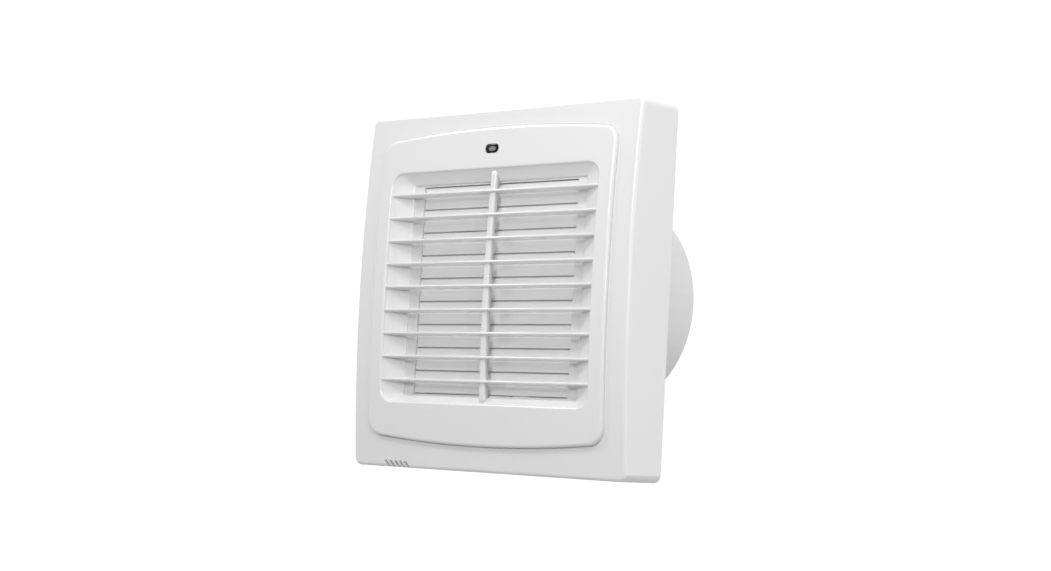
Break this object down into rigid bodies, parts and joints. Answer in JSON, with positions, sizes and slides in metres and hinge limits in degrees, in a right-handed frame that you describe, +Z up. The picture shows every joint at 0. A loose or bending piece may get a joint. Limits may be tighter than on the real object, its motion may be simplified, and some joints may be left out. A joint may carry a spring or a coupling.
{
  "type": "bathroom extractor fan",
  "caption": "Wall-mounted axial extractor fan for a 100 mm duct, with a slatted front cover and a thermally opened louvre shutter.",
  "frame": {"origin": "centre of the wall screw pattern, on the duct axis in the plane of the wall", "axes": "+X right as seen from the room, +Y into the wall along the duct spigot, +Z up"},
  "size_m": [0.16, 0.0864, 0.16],
  "materials": {
    "case_white": "moulded gloss white ABS",
    "housing_white": "moulded white ABS",
    "shutter_white": "moulded white ABS",
    "lens_grey": "translucent smoked polycarbonate",
    "screw_steel": "zinc plated steel",
    "nylon": "natural nylon",
    "brass_can": "brass",
    "spring_steel": "spring steel wire",
    "motor_metal": "zinc coated steel pressing",
    "laminations": "stacked steel laminations",
    "copper": "enamelled copper wire",
    "bronze": "sintered bronze",
    "shaft_steel": "ground steel",
    "impeller_plastic": "moulded white plastic",
    "board_green": "solder mask",
    "led_clear": "clear LED",
    "component_blue": "moulded component case",
    "sensor_white": "moulded sensor case",
    "terminal_plastic": "nylon terminal block"
  },
  "bodies": {
    "casing": {"front_cover": "case_white", "back_plate": "housing_white", "duct_tube": "housing_white", "indicator_lens": "lens_grey", "cover_screw": "screw_steel", "shutter_frame": "case_white", "shutter_frame_screws": "screw_steel", "actuator_body": "brass_can", "actuator_clip": "spring_steel", "return_spring": "spring_steel", "motor_case": "motor_metal", "motor_end_cap": "motor_metal", "motor_end_cap_screws": "screw_steel", "stator_core": "laminations", "stator_windings": "copper", "front_bearing": "bronze", "rear_bearing": "bronze", "control_board": "board_green", "board_screws": "screw_steel", "indicator_led": "led_clear", "mains_capacitor": "component_blue", "relay": "component_blue", "timer_trimmer_base": "component_blue", "humidity_trimmer_base": "component_blue", "humidity_sensor": "sensor_white", "terminal_block": "terminal_plastic", "terminal_screws": "brass_can", "cable_clamp": "nylon", "cable_clamp_screws": "screw_steel"},
    "impeller_assembly": {"impeller": "impeller_plastic", "impeller_nut": "screw_steel", "motor_shaft": "shaft_steel", "rotor_core": "laminations"},
    "blade_1": {"shutter_blade_1": "shutter_white"},
    "blade_2": {"shutter_blade_2": "shutter_white"},
    "blade_3": {"shutter_blade_3": "shutter_white"},
    "blade_4": {"shutter_blade_4": "shutter_white"},
    "blade_5": {"shutter_blade_5": "shutter_white"},
    "blade_6": {"shutter_blade_6": "shutter_white"},
    "blade_7": {"shutter_blade_7": "shutter_white"},
    "blade_8": {"shutter_blade_8": "shutter_white"},
    "blade_9": {"shutter_blade_9": "shutter_white"},
    "link": {"link_bar": "nylon"},
    "plunger": {"actuator_plunger": "shaft_steel"},
    "timer_knob": {"timer_trimmer_knob": "sensor_white"},
    "humidity_knob": {"humidity_trimmer_knob": "sensor_white"}
  },
  "joints": [
    {"name": "impeller_spin", "type": "hinge", "parent": "casing", "child": "impeller_assembly", "pos_m": [0, 0, 0], "axis": [0, 1, 0], "continuous": true},
    {"name": "shutter_open", "type": "hinge", "parent": "casing", "child": "blade_1", "pos_m": [0, -0.019, 0.0437], "axis": [1, 0, 0], "range_deg": [0, 80]},
    {"name": "blade_2_turn", "type": "hinge", "parent": "casing", "child": "blade_2", "pos_m": [0, -0.019, 0.03334], "axis": [1, 0, 0], "range_deg": [0, 80]},
    {"name": "blade_3_turn", "type": "hinge", "parent": "casing", "child": "blade_3", "pos_m": [0, -0.019, 0.02299], "axis": [1, 0, 0], "range_deg": [0, 80]},
    {"name": "blade_4_turn", "type": "hinge", "parent": "casing", "child": "blade_4", "pos_m": [0, -0.019, 0.01263], "axis": [1, 0, 0], "range_deg": [0, 80]},
    {"name": "blade_5_turn", "type": "hinge", "parent": "casing", "child": "blade_5", "pos_m": [0, -0.019, 0.00228], "axis": [1, 0, 0], "range_deg": [0, 80]},
    {"name": "blade_6_turn", "type": "hinge", "parent": "casing", "child": "blade_6", "pos_m": [0, -0.019, -0.00808], "axis": [1, 0, 0], "range_deg": [0, 80]},
    {"name": "blade_7_turn", "type": "hinge", "parent": "casing", "child": "blade_7", "pos_m": [0, -0.019, -0.01843], "axis": [1, 0, 0], "range_deg": [0, 80]},
    {"name": "blade_8_turn", "type": "hinge", "parent": "casing", "child": "blade_8", "pos_m": [0, -0.019, -0.02879], "axis": [1, 0, 0], "range_deg": [0, 80]},
    {"name": "blade_9_turn", "type": "hinge", "parent": "casing", "child": "blade_9", "pos_m": [0, -0.019, -0.03914], "axis": [1, 0, 0], "range_deg": [0, 80]},
    {"name": "link_swing", "type": "hinge", "parent": "blade_1", "child": "link", "pos_m": [0.0512, -0.01517, 0.04049], "axis": [1, 0, 0], "range_deg": [-80, 0]},
    {"name": "plunger_push", "type": "slide", "parent": "casing", "child": "plunger", "axis": [0, 0, 1], "range_m": [0, 0.00645], "deforming": ["return_spring"]},
    {"name": "timer_turn", "type": "hinge", "parent": "casing", "child": "timer_knob", "pos_m": [0.014, -0.0175, 0.0689], "axis": [0, -1, 0], "range_deg": [0, 270]},
    {"name": "humidity_turn", "type": "hinge", "parent": "casing", "child": "humidity_knob", "pos_m": [0.026, -0.0175, 0.0689], "axis": [0, -1, 0], "range_deg": [0, 270]}
  ],
  "couplings": [
    {"joint": "blade_2_turn", "follows": "shutter_open", "ratio": 1},
    {"joint": "blade_3_turn", "follows": "shutter_open", "ratio": 1},
    {"joint": "blade_4_turn", "follows": "shutter_open", "ratio": 1},
    {"joint": "blade_5_turn", "follows": "shutter_open", "ratio": 1},
    {"joint": "blade_6_turn", "follows": "shutter_open", "ratio": 1},
    {"joint": "blade_7_turn", "follows": "shutter_open", "ratio": 1},
    {"joint": "blade_8_turn", "follows": "shutter_open", "ratio": 1},
    {"joint": "blade_9_turn", "follows": "shutter_open", "ratio": 1},
    {"joint": "link_swing", "follows": "shutter_open", "ratio": -1},
    {"joint": "plunger_push", "follows": "shutter_open", "m_per_rad": 0.0046036}
  ]
}
